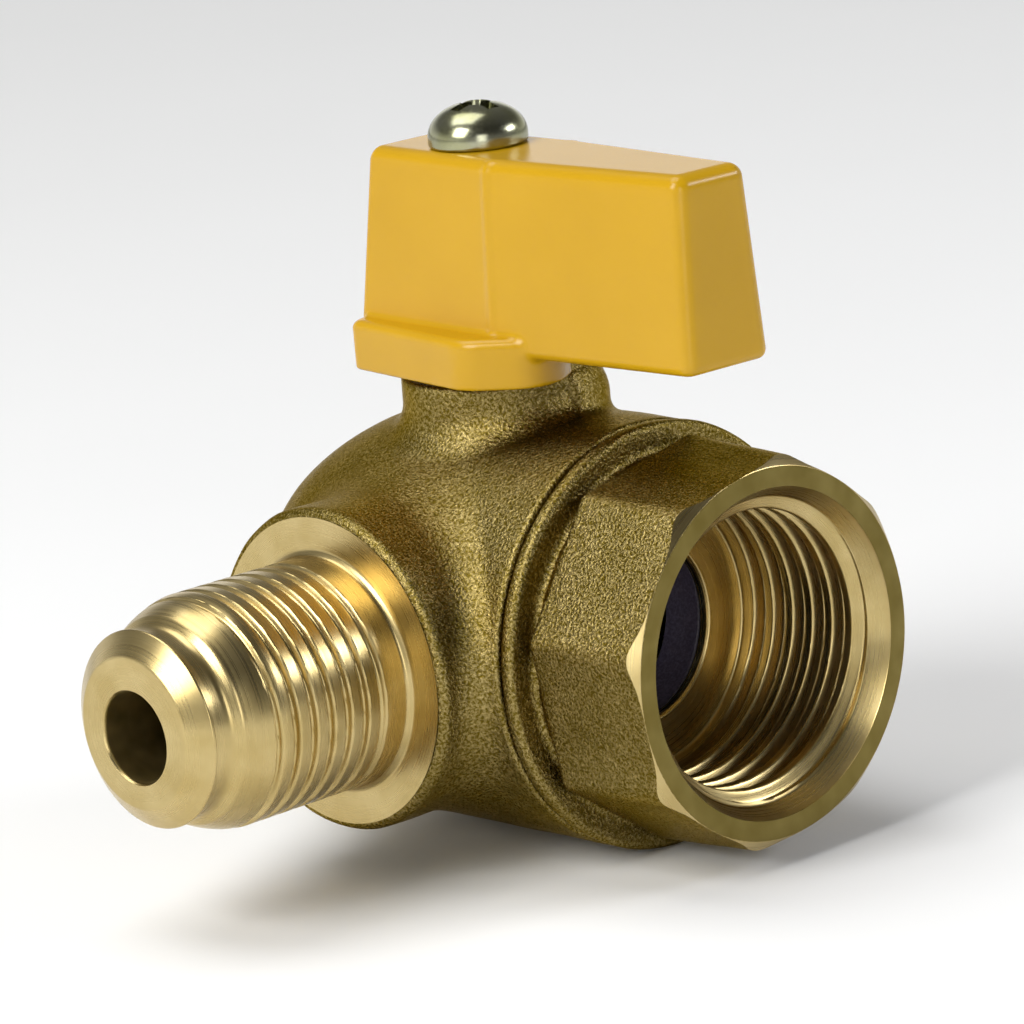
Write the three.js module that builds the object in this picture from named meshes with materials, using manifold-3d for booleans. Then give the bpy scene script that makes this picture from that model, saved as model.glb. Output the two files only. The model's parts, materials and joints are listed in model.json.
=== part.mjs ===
// An angle gas valve: a forged brass ball valve with an octagonal female end, a male flare end at
// right angles to it, and a moulded lever handle that turns the ball through a quarter turn.
// Millimetres, +Z up along the stem. The origin is the centre of the female end's mouth.
import * as THREE from 'three';
import { mergeVertices } from 'three/addons/utils/BufferGeometryUtils.js';
import Module from 'manifold-3d';

const wasm = await Module();
wasm.setup();

// ---------------------------------------------------------------- driving dimensions
const GAP = 0.3; // clearance left between neighbouring pieces
const RAD = Math.PI / 180;

const MOUTH_X = 24.05; // stem axis to the female end's face
const NOSE_Y = -34.45; // stem axis to the male end's face
const SEAM_X = 12.85; // body's open end, where the end connector seats
const BODY_R = 14.35;
const NECK_R = 6.75;
const NECK_TOP = 16.9;
const BALL_R = 9.5;
const PIPE_MINOR_R = 9.32; // G1/2 female thread
const PIPE_MAJOR_R = 10.48;
const PIPE_PITCH = 1.814;
const FLARE_R = 7.9; // M16 x 1.5 male thread
const FLARE_PITCH = 1.5;
const OUTLET_BORE_R = 3.05;
const OUTLET_DROP = 0.3; // the outlet is drilled a little below the middle of the male end
const STEM_R = 4.2;
const STEM_BORE_R = STEM_R + GAP;
const HANDLE_TOP = 32.15;
const HANDLE_BOTTOM = 17.2;
const WING_BOTTOM = 19.15;
const HANDLE_AT_REST = -2.5; // degrees the handle stands past its open stop

const ROUND = 36; // segments of a large round
const SMALL_ROUND = 20; // segments of a small one

// ---------------------------------------------------------------- solids
function asSolid(geometry) {
  const bare = geometry.clone();
  bare.deleteAttribute('normal');
  bare.deleteAttribute('uv');
  const merged = mergeVertices(bare, 1e-4);
  const index = merged.index.array;
  const position = new Float32Array(merged.attributes.position.array);
  const triangles = [];
  for (let i = 0; i < index.length; i += 3) {
    const [a, b, c] = [index[i], index[i + 1], index[i + 2]];
    if (a !== b && b !== c && c !== a) triangles.push([a, b, c]);
  }
  const corner = (i) => new THREE.Vector3().fromArray(position, 3 * i);
  const volume = triangles.reduce(
    (sum, [a, b, c]) => sum + corner(a).dot(corner(b).cross(corner(c))), 0);
  const facingOut = volume > 0 ? triangles : triangles.map(([a, b, c]) => [a, c, b]);
  const mesh = new wasm.Mesh({
    numProp: 3,
    vertProperties: position,
    triVerts: new Uint32Array(facingOut.flat()),
  });
  return new wasm.Manifold(mesh);
}

function asGeometry(solid) {
  const mesh = solid.getMesh();
  const geometry = new THREE.BufferGeometry();
  geometry.setAttribute('position', new THREE.BufferAttribute(mesh.vertProperties, 3));
  geometry.setIndex(new THREE.BufferAttribute(mesh.triVerts, 1));
  geometry.computeVertexNormals();
  return geometry;
}

// A turned solid. The profile is a list of [distance along the axis, radius]; it starts and ends
// on the axis, or closes on itself when it is a ring's section.
const turnToAxis = {
  x: new THREE.Matrix4().makeRotationZ(-90 * RAD),
  y: new THREE.Matrix4(),
  z: new THREE.Matrix4().makeRotationX(90 * RAD),
};

function turned(axis, profile, segments = ROUND) {
  const points = profile.map(([along, radius]) => new THREE.Vector2(radius, along));
  return asSolid(new THREE.LatheGeometry(points, segments).applyMatrix4(turnToAxis[axis]));
}

function rod(axis, from, to, radius, segments = ROUND) {
  return turned(axis, [[from, 0], [from, radius], [to, radius], [to, 0]], segments);
}

function ring(axis, section, segments = ROUND) {
  return turned(axis, [...section, section[0]], segments);
}

function block(x, y, z) {
  const box = new THREE.BoxGeometry(x[1] - x[0], y[1] - y[0], z[1] - z[0]);
  box.translate((x[0] + x[1]) / 2, (y[0] + y[1]) / 2, (z[0] + z[1]) / 2);
  return asSolid(box);
}

function oRing(axis, at, radius, thickness) {
  const section = [];
  for (let i = 0; i < 8; i += 1) {
    const a = i * 45 * RAD;
    section.push([at + (thickness / 2) * Math.sin(a), radius + (thickness / 2) * Math.cos(a)]);
  }
  return ring(axis, section, SMALL_ROUND);
}

// A prism of changing outline: each level is { z, outline }, and all outlines have as many points.
function lofted(levels) {
  const count = levels[0].outline.length;
  const points = levels.flatMap(({ z, outline }) => outline.map(([x, y]) => [x, y, z]));
  const index = [];
  for (let level = 0; level < levels.length - 1; level += 1) {
    for (let i = 0; i < count; i += 1) {
      const a = level * count + i;
      const b = level * count + ((i + 1) % count);
      index.push(a, b, b + count, a, b + count, a + count);
    }
  }
  const last = (levels.length - 1) * count;
  for (let i = 1; i < count - 1; i += 1) {
    index.push(0, i + 1, i);
    index.push(last, last + i, last + i + 1);
  }
  const geometry = new THREE.BufferGeometry();
  geometry.setAttribute('position', new THREE.BufferAttribute(new Float32Array(points.flat()), 3));
  geometry.setIndex(index);
  return asSolid(geometry);
}

// An outline with its corners rounded: each corner is [x, y, radius].
function rounded(corners, steps = 4) {
  const outline = [];
  corners.forEach(([x, y, radius], i) => {
    const here = new THREE.Vector2(x, y);
    const [px, py] = corners[(i + corners.length - 1) % corners.length];
    const [nx, ny] = corners[(i + 1) % corners.length];
    const back = new THREE.Vector2(px, py).sub(here).normalize();
    const ahead = new THREE.Vector2(nx, ny).sub(here).normalize();
    const half = Math.acos(THREE.MathUtils.clamp(back.dot(ahead), -1, 1)) / 2;
    const reach = radius / Math.tan(half);
    const start = here.clone().addScaledVector(back, reach);
    const end = here.clone().addScaledVector(ahead, reach);
    for (let s = 0; s <= steps; s += 1) {
      const t = s / steps;
      const p = start.clone().multiplyScalar((1 - t) ** 2);
      p.addScaledVector(here, 2 * t * (1 - t)).addScaledVector(end, t ** 2);
      outline.push([p.x, p.y]);
    }
  });
  return outline;
}

// ---------------------------------------------------------------- forged body
const SHOULDER_Y = -17.5; // machined face behind the male thread
const BOSS_R = 10.95;
const SHOULDER_R = 10.45;
const CHAMBER_R = BALL_R + 0.8;
const CHAMBER_END_X = 6.6;
const SPIGOT_BORE_R = 12;
const SEAT_POCKET_R = 8.3;
const SEAT_POCKET_X = 11.1; // depth of both seat pockets from the ball's centre
const STEM_FLANGE_R = 5.6;
const STEM_POCKET_TOP = 12.6;
const LUG_R = 7.35;
const LUG_TOP = 18.7;

// Zigzag of a ring-grooved thread from one end of the stretch to the other.
function threadZigzag(from, to, pitch, crestR, rootR) {
  const turns = Math.floor(Math.abs(to - from) / pitch);
  const step = Math.sign(to - from) * pitch;
  const points = [];
  for (let i = 0; i < turns; i += 1) {
    points.push([from + i * step, crestR], [from + (i + 0.5) * step, rootR]);
  }
  points.push([from + turns * step, crestR]);
  return points;
}

function barrel() {
  const domeStart = -1.75;
  const domeLength = 19.7;
  const domeSquareness = 1.855;
  const rearX = -16.8;
  const rearChamfer = 0.6;
  const steps = 8;
  const profile = [[SEAM_X, 0], [SEAM_X, BODY_R]];
  for (let i = 0; i <= steps; i += 1) {
    const x = domeStart + (rearX - domeStart) * (i / steps);
    const inward = (domeStart - x) / domeLength;
    profile.push([x, BODY_R * (1 - inward ** domeSquareness) ** (1 / domeSquareness)]);
  }
  const rearR = profile[profile.length - 1][1];
  profile.push([rearX - rearChamfer, rearR - 2 * rearChamfer], [rearX - rearChamfer, 0]);
  return turned('x', profile);
}

function neck() {
  const flareBottom = 9.5;
  const flareTop = 15;
  const flareReach = 3.85;
  const steps = 5;
  const profile = [[0, 0]];
  for (let i = 0; i <= steps; i += 1) {
    const t = i / steps;
    profile.push([flareBottom + (flareTop - flareBottom) * t, NECK_R + flareReach * (1 - t) ** 2]);
  }
  profile.push([NECK_TOP, NECK_R], [NECK_TOP, 0]);
  profile.splice(1, 0, [0, NECK_R + flareReach]);
  return turned('z', profile);
}

// The stop lug is a quarter of a stub round the stem bore, with a rounded outer shoulder.
function stopLug() {
  const shoulder = [[14.7, LUG_R], [15.4, 7.2], [16, 6.95], [16.5, 6.55], [17.2, 6.25]];
  const stub = turned('z', [[10, 0], [10, LUG_R], ...shoulder, [LUG_TOP, 6.2], [LUG_TOP, 0]]);
  return stub.intersect(block([GAP, LUG_R + 1], [GAP, LUG_R + 1], [10, LUG_TOP + 1]));
}

function malePort() {
  const bossStart = SHOULDER_Y + 0.5;
  const threadStart = -28.85; // the first full crest, behind the lead chamfer
  const threadEnd = -20.3;
  const rootR = FLARE_R - 0.85;
  const partCrestR = 7.25;
  const thread = threadZigzag(threadStart, threadEnd, FLARE_PITCH, FLARE_R, rootR);
  return turned('y', [
    [NOSE_Y, 0], [NOSE_Y, 5.05], [-33.3, 6.6], [-33.1, 6.6], [-33.05, 6.25], [-31.5, 6.3], [-31.05, 6.85],
    [threadStart - FLARE_PITCH, partCrestR], [threadStart - FLARE_PITCH / 2, rootR],
    ...thread, [threadEnd, FLARE_R - 0.1], [SHOULDER_Y, FLARE_R - 0.1],
    [SHOULDER_Y, SHOULDER_R], [bossStart, BOSS_R], [0, BOSS_R], [0, 0],
  ]);
}

function valveBody() {
  const chamber = turned('x', [
    [-SEAT_POCKET_X, 0], [-SEAT_POCKET_X, SEAT_POCKET_R], [-CHAMBER_END_X, SEAT_POCKET_R],
    [-CHAMBER_END_X, CHAMBER_R], [CHAMBER_END_X, CHAMBER_R], [CHAMBER_END_X, SPIGOT_BORE_R],
    [SEAM_X + 1, SPIGOT_BORE_R], [SEAM_X + 1, 0],
  ]);
  const stemBore = turned('z', [
    [0, 0], [0, STEM_FLANGE_R + GAP], [STEM_POCKET_TOP, STEM_FLANGE_R + GAP],
    [STEM_POCKET_TOP, STEM_BORE_R], [LUG_TOP + 1, STEM_BORE_R], [LUG_TOP + 1, 0],
  ], SMALL_ROUND);
  const outlet = rod('y', NOSE_Y - 1, 0, OUTLET_BORE_R, SMALL_ROUND).translate([0, 0, -OUTLET_DROP]);
  const outside = barrel().add(neck()).add(malePort()).add(stopLug());
  return outside.subtract(chamber).subtract(stemBore).subtract(outlet);
}

// ---------------------------------------------------------------- female end connector
const OCTAGON_CORNER_R = 13.53; // 25 across flats
const MOUTH_CORNER_R = 13.2; // the forging's draft narrows the octagon towards its mouth
const OCTAGON_TURN = 11.5; // degrees a corner stands above the level of the stem
const OCTAGON_BACK_X = 14.75;
const COLLAR_R = 14.4;
const SPIGOT_R = SPIGOT_BORE_R - GAP;
const SPIGOT_END_X = CHAMBER_END_X + GAP;
const ORIFICE_R = 6.13;
const SOCKET_END_X = 11.85;
const SEAL_X = 10.7;
const SEAL_GROOVE_R = 10.4;

function octagon(cornerR) {
  return Array.from({ length: 8 }, (_, k) => {
    const a = (OCTAGON_TURN + 45 * k) * RAD;
    return [cornerR * Math.sin(a), -cornerR * Math.cos(a)];
  });
}

function octagonPrism() {
  const upright = lofted([
    { z: OCTAGON_BACK_X - 1, outline: octagon(OCTAGON_CORNER_R) },
    { z: MOUTH_X, outline: octagon(MOUTH_CORNER_R) },
  ]);
  // The loft rises along Z; a turn about Y lays it along +X with its own X pointing down.
  return upright.rotate([0, 90, 0]);
}

function endConnector() {
  const mouthFlatR = 12.33;
  const cornerChamferX = MOUTH_X - 0.6;
  const groove = 0.8;
  const nut = octagonPrism().intersect(turned('x', [
    [OCTAGON_BACK_X - 0.4, 0], [OCTAGON_BACK_X - 0.4, OCTAGON_CORNER_R - 1.2],
    [OCTAGON_BACK_X, OCTAGON_CORNER_R + 0.1], [cornerChamferX, MOUTH_CORNER_R + 0.05],
    [MOUTH_X, mouthFlatR], [MOUTH_X, 0],
  ]));
  const core = turned('x', [
    [SPIGOT_END_X, 0], [SPIGOT_END_X, SPIGOT_R],
    [SEAL_X - groove, SPIGOT_R], [SEAL_X - groove, SEAL_GROOVE_R],
    [SEAL_X + groove, SEAL_GROOVE_R], [SEAL_X + groove, SPIGOT_R],
    [SEAM_X + GAP, SPIGOT_R], [SEAM_X + GAP, COLLAR_R - 0.15], [SEAM_X + 0.6, COLLAR_R],
    [SEAM_X + 1, COLLAR_R - 0.1], [OCTAGON_BACK_X - 0.4, OCTAGON_CORNER_R - 1.2],
    [OCTAGON_BACK_X + 1, OCTAGON_CORNER_R - 1.2], [OCTAGON_BACK_X + 1, 0],
  ]);
  const countersinkDepth = 1.3;
  const threadStart = MOUTH_X - countersinkDepth - 0.5;
  const thread = threadZigzag(threadStart, 13, PIPE_PITCH, PIPE_MINOR_R, PIPE_MAJOR_R);
  const passage = turned('x', [
    [0, 0], [0, SEAT_POCKET_R], [SEAT_POCKET_X, SEAT_POCKET_R], [SEAT_POCKET_X, ORIFICE_R],
    [SOCKET_END_X, ORIFICE_R], [SOCKET_END_X, PIPE_MINOR_R + 0.05], ...thread.reverse(),
    [MOUTH_X - countersinkDepth, 10.45], [MOUTH_X, 11], [MOUTH_X + 1, 11], [MOUTH_X + 1, 0],
  ]);
  return nut.add(core).subtract(passage);
}

// ---------------------------------------------------------------- ball, seats and seals
const BALL_SLOT_FLOOR = 6.2;
const TANG_HALF = 1.3;

function ball() {
  const inletR = 5;
  const outletR = 4;
  const sphere = asSolid(new THREE.SphereGeometry(BALL_R, 28, 18));
  const slot = block([-TANG_HALF - GAP, TANG_HALF + GAP], [-BALL_R, BALL_R], [BALL_SLOT_FLOOR, BALL_R + 1]);
  const inlet = rod('x', 0, BALL_R + 1, inletR, SMALL_ROUND);
  const elbow = asSolid(new THREE.SphereGeometry(inletR, SMALL_ROUND, 12));
  const outlet = rod('y', -BALL_R - 1, 0, outletR, SMALL_ROUND);
  return sphere.subtract(slot).subtract(inlet).subtract(elbow).subtract(outlet);
}

function seat(side) {
  const innerR = 6.4;
  const outerR = SEAT_POCKET_R - GAP;
  const outerFace = 6.2;
  const innerFace = 7.6;
  const back = SEAT_POCKET_X - GAP;
  return ring('x', [
    [side * back, innerR], [side * back, outerR], [side * outerFace, outerR], [side * innerFace, innerR],
  ], SMALL_ROUND);
}

function thrustWasher() {
  const bottom = 11.5;
  const top = STEM_POCKET_TOP - GAP;
  return ring('z', [
    [bottom, STEM_BORE_R], [bottom, STEM_FLANGE_R], [top, STEM_FLANGE_R], [top, STEM_BORE_R],
  ], SMALL_ROUND);
}

// ---------------------------------------------------------------- stem
const STEM_SEALS_Z = [13.7, 15.9];
const STEM_GROOVE_R = 2.9;
const STEM_TOP = 28;
const STEM_FLAT = 3; // stem axis to each flat of its upper end
const SCREW_R = 1.9;
const SCREW_END_Z = 21;

function stem() {
  const halfGroove = 0.8;
  const grooves = STEM_SEALS_Z.flatMap((z) => [
    [z - halfGroove, STEM_R], [z - halfGroove, STEM_GROOVE_R],
    [z + halfGroove, STEM_GROOVE_R], [z + halfGroove, STEM_R],
  ]);
  const flangeBottom = BALL_R + GAP;
  const flangeTop = 11.2;
  const spindle = turned('z', [
    [flangeBottom, 0], [flangeBottom, STEM_FLANGE_R], [flangeTop, STEM_FLANGE_R],
    [flangeTop, STEM_R], ...grooves, [STEM_TOP, STEM_R], [STEM_TOP, 0],
  ], SMALL_ROUND);
  const tang = block([-TANG_HALF, TANG_HALF], [-4, 4], [BALL_SLOT_FLOOR + GAP, flangeBottom + 0.5]);
  const flats = [-1, 1].map((side) => block(
    [-STEM_R - 1, STEM_R + 1],
    side > 0 ? [STEM_FLAT, STEM_R + 1] : [-STEM_R - 1, -STEM_FLAT],
    [NECK_TOP, STEM_TOP + 1],
  ));
  const tapped = rod('z', SCREW_END_Z - GAP, STEM_TOP + 1, SCREW_R + GAP, SMALL_ROUND);
  return flats.reduce((solid, flat) => solid.subtract(flat), spindle.add(tang)).subtract(tapped);
}

// ---------------------------------------------------------------- handle
// The wing's outline tapers from the hub to its tip and drafts outwards towards its bottom.
function wingOutline(hubX, tipX, hubHalf, midHalf, tipHalf, inset) {
  const midX = 5.48;
  const cornerR = 1.1;
  const side = (s) => [
    [hubX + inset, s * (hubHalf - inset), cornerR],
    [midX, s * (midHalf - inset), 2],
    [tipX - inset, s * (tipHalf - inset), cornerR],
  ];
  return rounded([...side(-1), ...side(1).reverse()]);
}

function handle() {
  const topOutline = (inset) => wingOutline(-7.05, 22.8, 3.9, 4.28, 3, inset);
  const edge = 0.9;
  const wing = lofted([
    { z: WING_BOTTOM, outline: wingOutline(-9, 23.15, 4.6, 4.98, 3.7, 0.5) },
    { z: WING_BOTTOM + 0.5, outline: wingOutline(-8.95, 23.13, 4.58, 4.95, 3.67, 0) },
    { z: HANDLE_TOP - edge, outline: topOutline(-0.05) },
    { z: HANDLE_TOP - edge * 0.3, outline: topOutline(edge * 0.3) },
    { z: HANDLE_TOP, outline: topOutline(edge) },
  ]);
  const skirtOutline = (inset) => rounded([
    [-8.2 + inset, -0.01, 0.01], [-7.95 + inset, -6.1 + inset, 1.3], [4.9, -7.45 + inset, 1.5],
    [8.3 - inset, -5 + inset * 0.5, 1.8], [8.3 - inset, -2.2, 0.8], [7.2 - inset, -0.01, 0.01],
  ]);
  const skirt = lofted([
    { z: HANDLE_BOTTOM, outline: skirtOutline(0.6) },
    { z: HANDLE_BOTTOM + 0.6, outline: skirtOutline(0) },
    { z: 20, outline: skirtOutline(0.15) },
    { z: 20.9, outline: skirtOutline(1.6) },
  ]);
  const socketTop = STEM_TOP + GAP;
  const socket = rod('z', 0, socketTop, STEM_BORE_R, SMALL_ROUND).intersect(
    block([-STEM_BORE_R, STEM_BORE_R], [-STEM_FLAT - GAP, STEM_FLAT + GAP], [0, socketTop]));
  const screwHole = rod('z', socketTop - 1, HANDLE_TOP + 1, SCREW_R + GAP, SMALL_ROUND);
  const pocketTop = 30;
  const pockets = [[9, 14.2, 2.6, 2.3], [15.8, 21.2, 2.2, 1.9]].map(([near, far, nearHalf, farHalf]) => {
    const outline = [[near, -nearHalf], [far, -farHalf], [far, farHalf], [near, nearHalf]];
    return lofted([{ z: HANDLE_BOTTOM, outline }, { z: pocketTop, outline }]);
  });
  const hollows = [socket, screwHole, ...pockets];
  return hollows.reduce((solid, hollow) => solid.subtract(hollow), wing.add(skirt));
}

function handleScrew() {
  const headR = 3.42;
  const seatZ = HANDLE_TOP + GAP;
  const rimTop = seatZ + 0.55;
  const headHeight = 2.1;
  const steps = 5;
  const dome = [];
  for (let i = 0; i <= steps; i += 1) {
    const a = (90 * RAD * i) / steps;
    dome.push([rimTop + headHeight * Math.sin(a), headR * Math.cos(a)]);
  }
  const screw = turned('z', [
    [SCREW_END_Z, 0], [SCREW_END_Z, SCREW_R], [seatZ, SCREW_R], [seatZ, headR], ...dome,
  ], SMALL_ROUND);
  const recess = [[1.7, 0.4], [0.4, 1.7]].map(([halfX, halfY]) => block(
    [-halfX, halfX], [-halfY, halfY], [rimTop + headHeight - 1.6, rimTop + headHeight + 1]));
  return recess.reduce((solid, bar) => solid.subtract(bar), screw);
}

// ---------------------------------------------------------------- the assembly
const brass = { color: 0xb39a55, roughness: 0.35, metalness: 1 };
const forging = { color: 0x8f7d45, roughness: 0.55, metalness: 1 };
const chrome = { color: 0xb8bcc4, roughness: 0.08, metalness: 1 };
const zinc = { color: 0xb9b78f, roughness: 0.25, metalness: 1 };
const ptfe = { color: 0x2a282e, roughness: 0.5, metalness: 0 }; // filled with carbon
const nitrile = { color: 0x1c1c1e, roughness: 0.7, metalness: 0 };
const plastic = { color: 0xe0ac20, roughness: 0.3, metalness: 0 };

function piece(name, solid, look) {
  const mesh = new THREE.Mesh(asGeometry(solid), new THREE.MeshStandardMaterial(look));
  mesh.name = name;
  return mesh;
}

const fixed = new THREE.Group();
fixed.add(
  piece('valve_body', valveBody(), forging),
  piece('end_connector', endConnector(), forging),
  piece('seat_front', seat(1), ptfe),
  piece('seat_rear', seat(-1), ptfe),
  piece('connector_seal', oRing('x', SEAL_X, (SEAL_GROOVE_R + SPIGOT_BORE_R) / 2, 1), nitrile),
  piece('thrust_washer', thrustWasher(), ptfe),
);

const turning = new THREE.Group();
turning.add(
  piece('ball', ball(), chrome),
  piece('stem', stem(), brass),
  piece('stem_oring_lower', oRing('z', STEM_SEALS_Z[0], (STEM_GROOVE_R + STEM_BORE_R) / 2, 1), nitrile),
  piece('stem_oring_upper', oRing('z', STEM_SEALS_Z[1], (STEM_GROOVE_R + STEM_BORE_R) / 2, 1), nitrile),
  piece('handle', handle(), plastic),
  piece('handle_screw', handleScrew(), zinc),
);
turning.rotation.z = HANDLE_AT_REST * RAD;

const valve = new THREE.Group();
valve.add(fixed, turning);
valve.position.x = -MOUTH_X;

const gasValve = new THREE.Group();
gasValve.add(valve);

export default gasValve;
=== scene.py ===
"""Looks of the angle gas valve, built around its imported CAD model.

Shapes are worked out in millimetres with the origin at the ball's centre, +X out of the female end,
-Y out of the male end and +Z up the stem, and go into Blender in the CAD model's own frame.
"""
import json
import math

import bpy
import numpy as np
from mathutils import Matrix, Vector

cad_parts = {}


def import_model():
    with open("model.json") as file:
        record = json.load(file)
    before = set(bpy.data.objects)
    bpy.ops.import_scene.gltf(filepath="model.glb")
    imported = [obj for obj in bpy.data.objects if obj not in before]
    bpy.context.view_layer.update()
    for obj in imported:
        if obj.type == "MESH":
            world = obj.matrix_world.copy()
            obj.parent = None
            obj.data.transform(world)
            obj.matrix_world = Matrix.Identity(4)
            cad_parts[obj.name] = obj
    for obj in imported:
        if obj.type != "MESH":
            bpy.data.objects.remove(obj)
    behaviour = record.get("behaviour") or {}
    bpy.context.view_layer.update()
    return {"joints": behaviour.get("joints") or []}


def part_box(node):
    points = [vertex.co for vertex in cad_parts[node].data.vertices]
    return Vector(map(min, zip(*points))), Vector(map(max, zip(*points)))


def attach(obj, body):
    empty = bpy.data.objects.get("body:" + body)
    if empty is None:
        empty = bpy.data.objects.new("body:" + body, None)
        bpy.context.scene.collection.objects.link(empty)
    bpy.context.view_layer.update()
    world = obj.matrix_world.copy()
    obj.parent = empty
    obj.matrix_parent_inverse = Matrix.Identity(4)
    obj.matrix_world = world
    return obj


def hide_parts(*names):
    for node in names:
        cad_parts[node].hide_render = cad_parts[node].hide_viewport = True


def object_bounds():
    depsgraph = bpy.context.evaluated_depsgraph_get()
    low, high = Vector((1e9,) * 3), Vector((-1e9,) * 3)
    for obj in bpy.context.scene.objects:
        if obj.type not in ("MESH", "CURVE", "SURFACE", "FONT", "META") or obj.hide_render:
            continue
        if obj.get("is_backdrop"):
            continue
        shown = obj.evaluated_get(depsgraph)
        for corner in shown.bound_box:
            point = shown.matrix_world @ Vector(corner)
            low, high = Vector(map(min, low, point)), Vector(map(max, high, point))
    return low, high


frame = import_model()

# ---------------------------------------------------------------- driving dimensions, from the frame
MM = 0.001
TURN = next(joint for joint in frame["joints"] if joint["name"] == "handle_turn")
BALL_CENTRE = Vector(TURN["pos_m"])
HANDLE_AT_REST = -math.radians(TURN["range_deg"][1])  # the handle stands this far off its open stop


def corners_mm(node):
    """A CAD node's lowest and highest corner, in millimetres from the ball's centre."""
    low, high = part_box(node)
    return (low - BALL_CENTRE) / MM, (high - BALL_CENTRE) / MM


body_low, body_high = corners_mm("valve_body")
connector_high = corners_mm("end_connector")[1]
handle_low, handle_high = corners_mm("handle")
screw_low, screw_high = corners_mm("handle_screw")
stem_low, stem_high = corners_mm("stem")
ball_low = corners_mm("ball")[0]
seat_high = corners_mm("seat_front")[1]
washer_low, washer_high = corners_mm("thrust_washer")

MOUTH_X = connector_high.x
NOSE_Y = body_low.y
REAR_X = body_low.x
SEAM_X = body_high.x  # where the end connector's collar meets the body
BODY_R = 14.35
COLLAR_R = 14.36
NECK_R = 6.6
LUG_TOP = body_high.z
BALL_R = -ball_low.z
HANDLE_TOP = handle_high.z
HANDLE_BOTTOM = handle_low.z
CLEAR = 0.3  # the gap between neighbouring pieces
NECK_TOP = HANDLE_BOTTOM - CLEAR
SHOULDER_Y = -17.5  # the turned shoulder behind the male thread
SHOULDER_R = 10.4
BOSS_R = 10.95
MALE_CREST_R = 7.88
MALE_PITCH = 1.5
OUTLET_R = 3.05
OUTLET_DROP = 0.3  # the outlet is drilled a little below the middle of the male end
STEM_R = 4.2
STEM_HALF_FLAT = 3  # from the stem's middle to each of its two flats
TAPPED_R = 2.2
SEAT_POCKET_X = seat_high.x + CLEAR
SEAT_POCKET_R = seat_high.z + CLEAR
CHAMBER_R = BALL_R + 0.8
CHAMBER_END_X = 6.6
SPIGOT_BORE_R = 12
STEM_FLANGE_R = 5.6
STEM_POCKET_TOP = washer_high.z + CLEAR
MOUTH_FACE_R = 12.33
COUNTERSINK_R = 11
CHAMFER_R = 13.1
CHAMFER_DEPTH = 0.7
FEMALE_CREST_R = 9.32
FEMALE_PITCH = 1.814
UNEVEN = 0.055  # how far a forged surface strays
BEYOND = 1  # how far a cutting tool reaches past the surface it opens


# ---------------------------------------------------------------- meshes
def made(name, vertices, faces):
    """A Blender object of points in millimetres from the ball's centre."""
    points = np.asarray(vertices, float) * MM + np.array(BALL_CENTRE)
    mesh = bpy.data.meshes.new(name)
    mesh.from_pydata(points.tolist(), [], [list(face) for face in faces])
    mesh.validate()
    piece = bpy.data.objects.new(name, mesh)
    bpy.context.scene.collection.objects.link(piece)
    return piece


def on_axis(axis, along, radius, angle):
    """Points round an axis. The angle turns by the right-hand rule about it."""
    a, b = radius * np.cos(angle), radius * np.sin(angle)
    order = {"x": (along, a, b), "y": (b, along, a), "z": (a, b, along)}[axis]
    return np.stack(np.broadcast_arrays(*order), axis=-1)


def eased(profile, steps=4):
    """A profile of [along, radius, ease] whose corners with an ease are rounded that far along each side."""
    points = []
    for i, (along, radius, *ease) in enumerate(profile):
        here = np.array([along, radius], float)
        if not ease or i in (0, len(profile) - 1):
            points.append(here)
            continue
        back = np.array(profile[i - 1][:2], float) - here
        ahead = np.array(profile[i + 1][:2], float) - here
        start = here + back * min(0.5, ease[0] / np.linalg.norm(back))
        end = here + ahead * min(0.5, ease[0] / np.linalg.norm(ahead))
        for t in np.linspace(0, 1, steps + 1):
            points.append((1 - t) ** 2 * start + 2 * t * (1 - t) * here + t ** 2 * end)
    return np.array(points)


def turned(name, axis, profile, segments=160, thread=None, fine=0.06):
    """A turned solid whose profile starts and ends on the axis. A thread is (from, to, surface radius)."""
    outline = eased(profile)
    if thread:
        outline = refined(outline, thread[0], thread[1], fine)
    angles = np.linspace(0, 2 * math.pi, segments, endpoint=False)
    along = outline[1:-1, :1]
    radius = np.broadcast_to(outline[1:-1, 1:], (len(along), segments))
    if thread:
        inside = (along >= thread[0]) & (along <= thread[1])
        radius = np.where(inside, thread[2](along, angles[None, :], radius), radius)
    rows = on_axis(axis, along, radius, angles[None, :])
    ends = on_axis(axis, outline[[0, -1], 0], np.zeros(2), np.zeros(2))
    vertices = np.concatenate([rows.reshape(-1, 3), ends])
    count = len(rows)
    i, j = np.meshgrid(np.arange(count - 1), np.arange(segments), indexing="ij")
    after = (j + 1) % segments
    quads = np.stack([i * segments + j, i * segments + after,
                      (i + 1) * segments + after, (i + 1) * segments + j], axis=-1).reshape(-1, 4)
    faces = quads.tolist()
    first, last = len(vertices) - 2, len(vertices) - 1
    base = (count - 1) * segments
    for k in range(segments):
        faces.append([first, (k + 1) % segments, k])
        faces.append([last, base + k, base + (k + 1) % segments])
    if outline[0, 0] > outline[-1, 0]:
        faces = [face[::-1] for face in faces]
    return made(name, vertices, faces)


def refined(outline, start, end, step):
    """The outline with more points where it lies between start and end along the axis."""
    points = [outline[0]]
    for before, here in zip(outline[:-1], outline[1:]):
        crosses = max(before[0], here[0]) > start and min(before[0], here[0]) < end
        pieces = max(1, math.ceil(abs(here[0] - before[0]) / step)) if crosses else 1
        points += [before + (here - before) * (k + 1) / pieces for k in range(pieces)]
    return np.array(points)


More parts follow.
